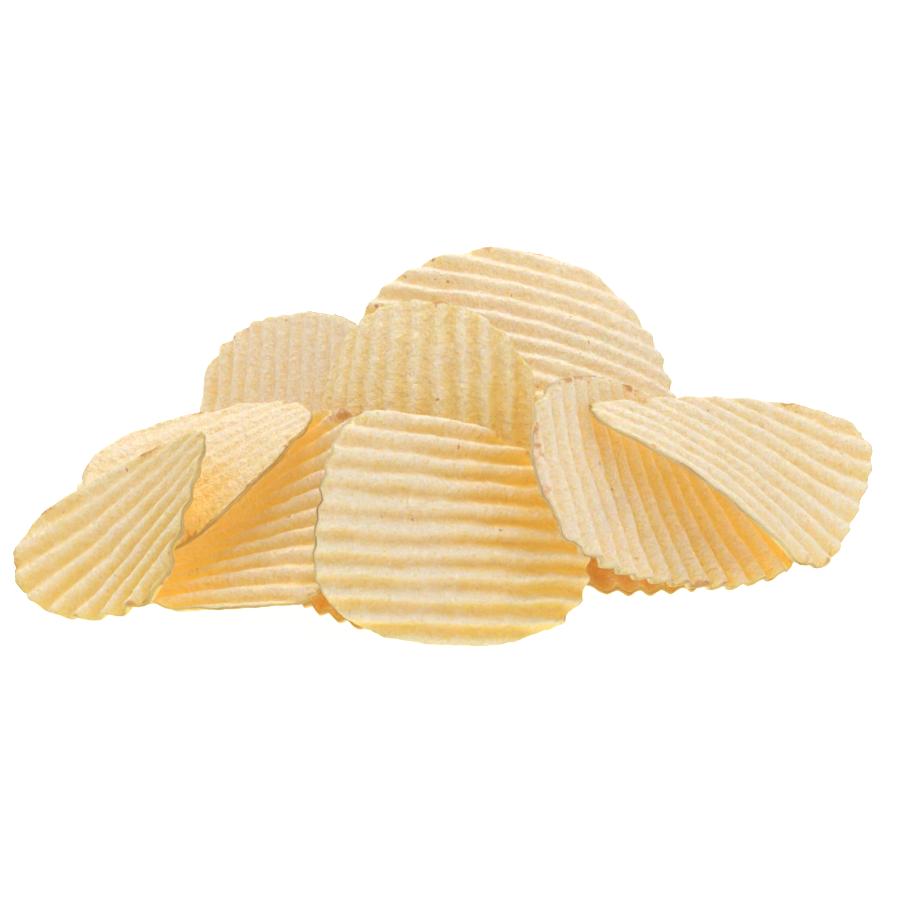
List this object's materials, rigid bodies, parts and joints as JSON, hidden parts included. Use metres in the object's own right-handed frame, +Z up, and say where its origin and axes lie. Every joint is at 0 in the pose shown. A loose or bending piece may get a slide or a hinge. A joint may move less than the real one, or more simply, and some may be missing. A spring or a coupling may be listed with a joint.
{
  "type": "pile of ridged potato crisps",
  "caption": "Loose pile of thin ridged potato crisps, curled and browned at their rims, leaning on each other on a flat surface.",
  "frame": {"origin": "on the surface the pile lies on, under the middle of the pile's box", "axes": "+Z up from the surface; +X along the pile's length, to the right as seen from its front; the front faces -Y"},
  "size_m": [0.1764, 0.1224, 0.0568],
  "materials": {
    "crisp_pale": "pale fried potato, dry with a faint sheen of oil",
    "crisp_golden": "golden fried potato, dry with a faint sheen of oil",
    "crisp_browned": "browned fried potato, dry with a faint sheen of oil"
  },
  "bodies": {
    "root": {"crisp_front": "crisp_golden", "crisp_front_low": "crisp_browned", "crisp_far_left": "crisp_pale", "crisp_left_upper": "crisp_pale", "crisp_left_fan": "crisp_golden", "crisp_back_left": "crisp_golden", "crisp_centre": "crisp_pale", "crisp_back_top": "crisp_pale", "crisp_right_fan": "crisp_golden", "crisp_right_upper": "crisp_pale", "crisp_right_low": "crisp_browned", "crisp_rear_top": "crisp_pale", "crisp_rear_centre": "crisp_golden", "crisp_rear_left": "crisp_pale", "crisp_rear_right": "crisp_golden", "crisp_rear_far_left": "crisp_golden", "crisp_rear_far_right": "crisp_pale"}
  },
  "joints": []
}
